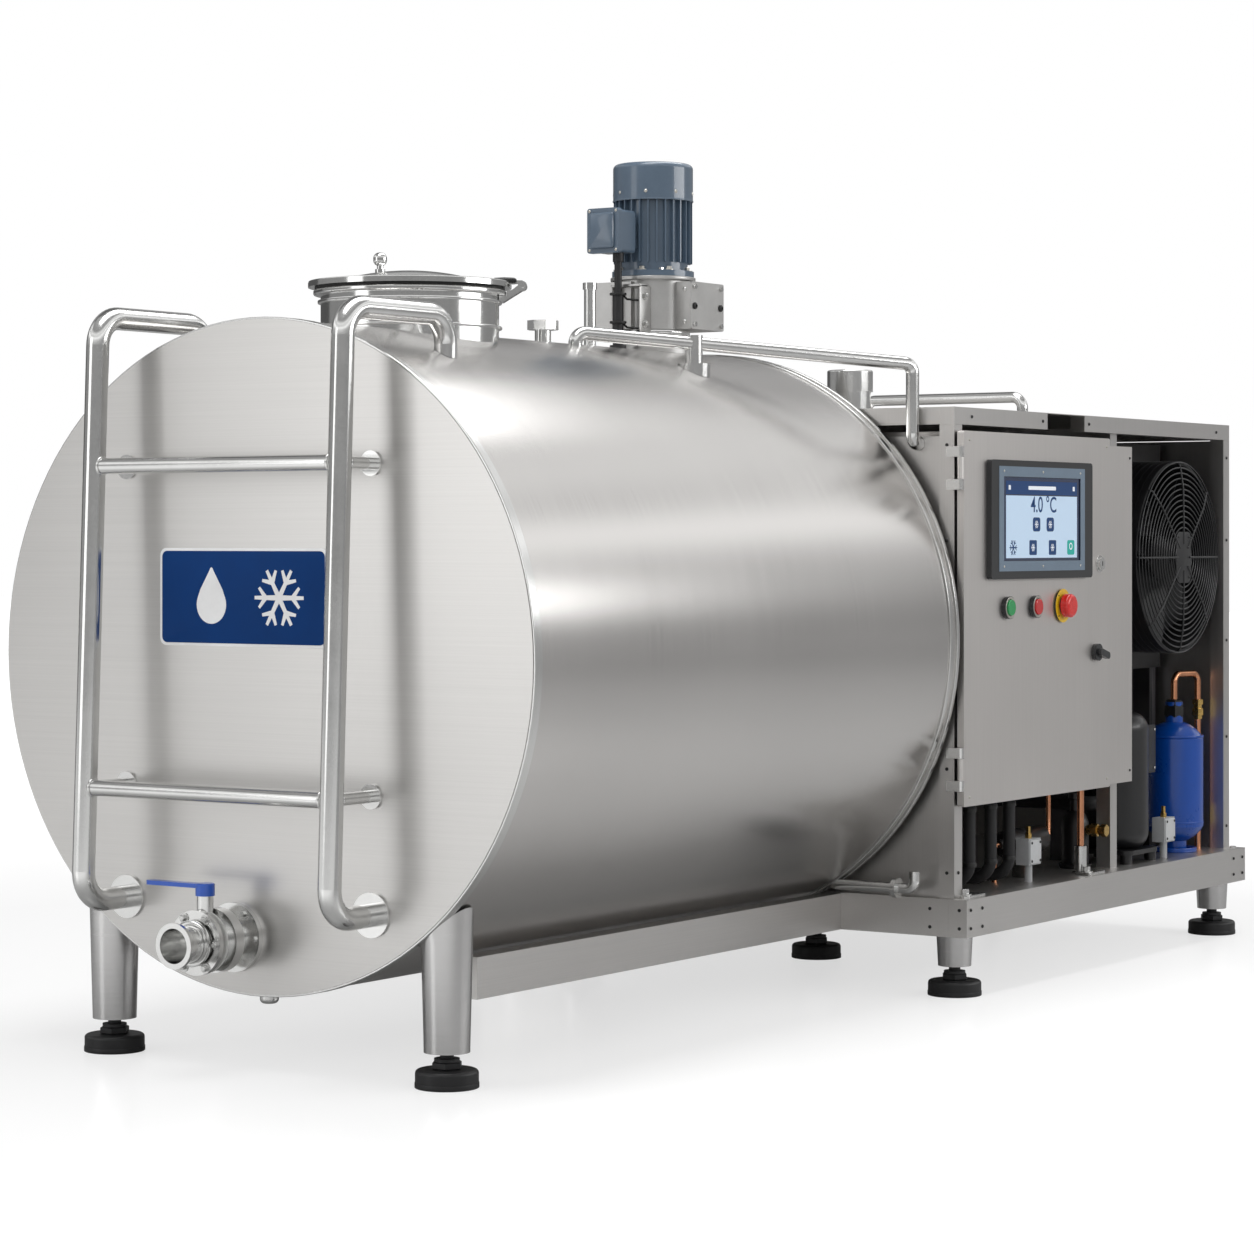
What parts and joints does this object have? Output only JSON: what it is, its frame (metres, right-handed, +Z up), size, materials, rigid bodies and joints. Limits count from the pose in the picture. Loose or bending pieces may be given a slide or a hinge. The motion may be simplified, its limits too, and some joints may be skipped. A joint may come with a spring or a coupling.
{
  "type": "bulk milk tank",
  "caption": "Horizontal insulated milk cooling tank with a ladder, manhole, top agitator and outlet valve, joined to an open refrigeration bay with a control cabinet.",
  "frame": {"origin": "on the floor, under the middle of the unit's overall length and width", "axes": "+X from the ladder end of the tank towards the refrigeration bay, -Y towards the control door, +Z up"},
  "size_m": [3.643, 1.458, 2.017],
  "materials": {
    "brushed_steel": "fine brushed stainless sheet",
    "polished_steel": "polished stainless tube and fittings",
    "frame_steel": "satin stainless section",
    "foam": "rigid foam",
    "gasket": "soft black rubber",
    "motor_paint": "gloss blue-grey enamel",
    "cast_steel": "blasted cast stainless",
    "gear_steel": "hardened gear steel",
    "lever_blue": "moulded blue grip",
    "foot_black": "black rubber pad and collar",
    "black_plastic": "black moulded plastic",
    "screen": "lit flat display",
    "green": "green push button",
    "red": "red push button",
    "socket": "black and yellow sockets",
    "fan_black": "black coated wire and sheet",
    "coil": "dark finned coil",
    "receiver_blue": "gloss blue enamel",
    "compressor_black": "gloss black enamel",
    "copper": "bare copper tube",
    "hose": "foam-covered hose",
    "switch_grey": "light grey case"
  },
  "bodies": {
    "tank": {"base_frame": "frame_steel", "base_tray": "frame_steel", "bay_frame": "frame_steel", "bay_panels": "frame_steel", "bearings": "gear_steel", "bolts": "polished_steel", "cip_pipe": "polished_steel", "component_plate": "switch_grey", "compressor": "compressor_black", "condenser": "coil", "control_box": "brushed_steel", "copper_pipes": "copper", "end_plates": "brushed_steel", "evaporator_jacket": "brushed_steel", "fan_guard": "fan_black", "fan_shroud": "fan_black", "gearbox_housing": "cast_steel", "hinge_leaves": "frame_steel", "inner_vessel": "brushed_steel", "insulated_hoses": "hose", "insulation": "foam", "ladder_rungs": "polished_steel", "ladder_stringers": "polished_steel", "legs": "frame_steel", "levelling_feet": "foot_black", "lid_hinge_bracket": "polished_steel", "manhole_gasket": "gasket", "manhole_neck": "polished_steel", "motor_body": "motor_paint", "motor_cable": "black_plastic", "motor_cowl": "motor_paint", "outer_shell": "brushed_steel", "outlet_pipe": "polished_steel", "pressure_switches": "switch_grey", "receiver": "receiver_blue", "rim_bands": "brushed_steel", "roof_fittings": "polished_steel", "tank_fittings": "polished_steel", "terminal_box": "motor_paint", "valve_body": "polished_steel"},
    "lid": {"manhole_lid": "polished_steel", "lid_knob": "polished_steel", "lid_hinge_arm": "polished_steel"},
    "valve_stem": {"valve_disc": "polished_steel", "valve_lever": "lever_blue"},
    "agitator": {"agitator": "polished_steel"},
    "countershaft": {"countershaft": "gear_steel"},
    "motor_rotor": {"motor_rotor": "gear_steel"},
    "condenser_fan": {"fan_blades": "fan_black"},
    "control_door": {"control_door": "brushed_steel", "hmi_bezel": "black_plastic", "hmi_screen": "screen", "button_sockets": "socket"},
    "side_door": {"side_door": "brushed_steel"},
    "green_button": {"green_button": "green"},
    "red_button": {"red_button": "red"},
    "estop_button": {"estop_button": "red"},
    "door_lock": {"door_lock": "polished_steel"},
    "door_handle": {"door_handle": "black_plastic"},
    "vent_cap": {"vent_cap": "polished_steel"}
  },
  "joints": [
    {"name": "lid_hinge", "type": "hinge", "parent": "tank", "child": "lid", "pos_m": [-0.95832, -0.2056, 1.6603], "axis": [0.829, 0.5592, 0], "range_deg": [0, 100]},
    {"name": "valve_lever_turn", "type": "hinge", "parent": "tank", "child": "valve_stem", "pos_m": [-1.72, 0.055, 0.276], "axis": [0, 0, 1], "range_deg": [0, 90]},
    {"name": "agitator_spin", "type": "hinge", "parent": "tank", "child": "agitator", "pos_m": [-0.116, 0, 1], "axis": [0, 0, 1], "continuous": true},
    {"name": "countershaft_spin", "type": "hinge", "parent": "tank", "child": "countershaft", "pos_m": [-0.06779, -0.05745, 1.65], "axis": [0, 0, 1], "continuous": true},
    {"name": "motor_spin", "type": "hinge", "parent": "tank", "child": "motor_rotor", "pos_m": [-0.116, 0, 1.8], "axis": [0, 0, 1], "continuous": true},
    {"name": "condenser_fan_spin", "type": "hinge", "parent": "tank", "child": "condenser_fan", "pos_m": [1.494, -0.55, 1.053], "axis": [0, -1, 0], "continuous": true},
    {"name": "control_door_hinge", "type": "hinge", "parent": "tank", "child": "control_door", "pos_m": [0.159, -0.701, 0.9], "axis": [0, 0, -1], "range_deg": [0, 110]},
    {"name": "side_door_hinge", "type": "hinge", "parent": "tank", "child": "side_door", "pos_m": [0.984, -0.693, 0.9], "axis": [0, 0, -1], "range_deg": [0, 90]},
    {"name": "green_button_press", "type": "slide", "parent": "control_door", "child": "green_button", "axis": [0, 1, 0], "range_m": [0, 0.004], "stiffness_N_per_m": 800},
    {"name": "red_button_press", "type": "slide", "parent": "control_door", "child": "red_button", "axis": [0, 1, 0], "range_m": [0, 0.004], "stiffness_N_per_m": 800},
    {"name": "estop_press", "type": "slide", "parent": "control_door", "child": "estop_button", "axis": [0, 1, 0], "range_m": [0, 0.006], "stiffness_N_per_m": 800},
    {"name": "door_lock_turn", "type": "hinge", "parent": "control_door", "child": "door_lock", "pos_m": [0.915, -0.705, 1.04], "axis": [0, -1, 0], "range_deg": [0, 90]},
    {"name": "door_handle_turn", "type": "hinge", "parent": "control_door", "child": "door_handle", "pos_m": [0.889, -0.705, 0.812], "axis": [0, -1, 0], "range_deg": [-90, 0]},
    {"name": "vent_cap_lift", "type": "slide", "parent": "tank", "child": "vent_cap", "axis": [0, 0, 1], "range_m": [0, 0.05]}
  ],
  "couplings": [
    {"joint": "countershaft_spin", "follows": "agitator_spin", "ratio": -4},
    {"joint": "motor_spin", "follows": "agitator_spin", "ratio": 16}
  ]
}
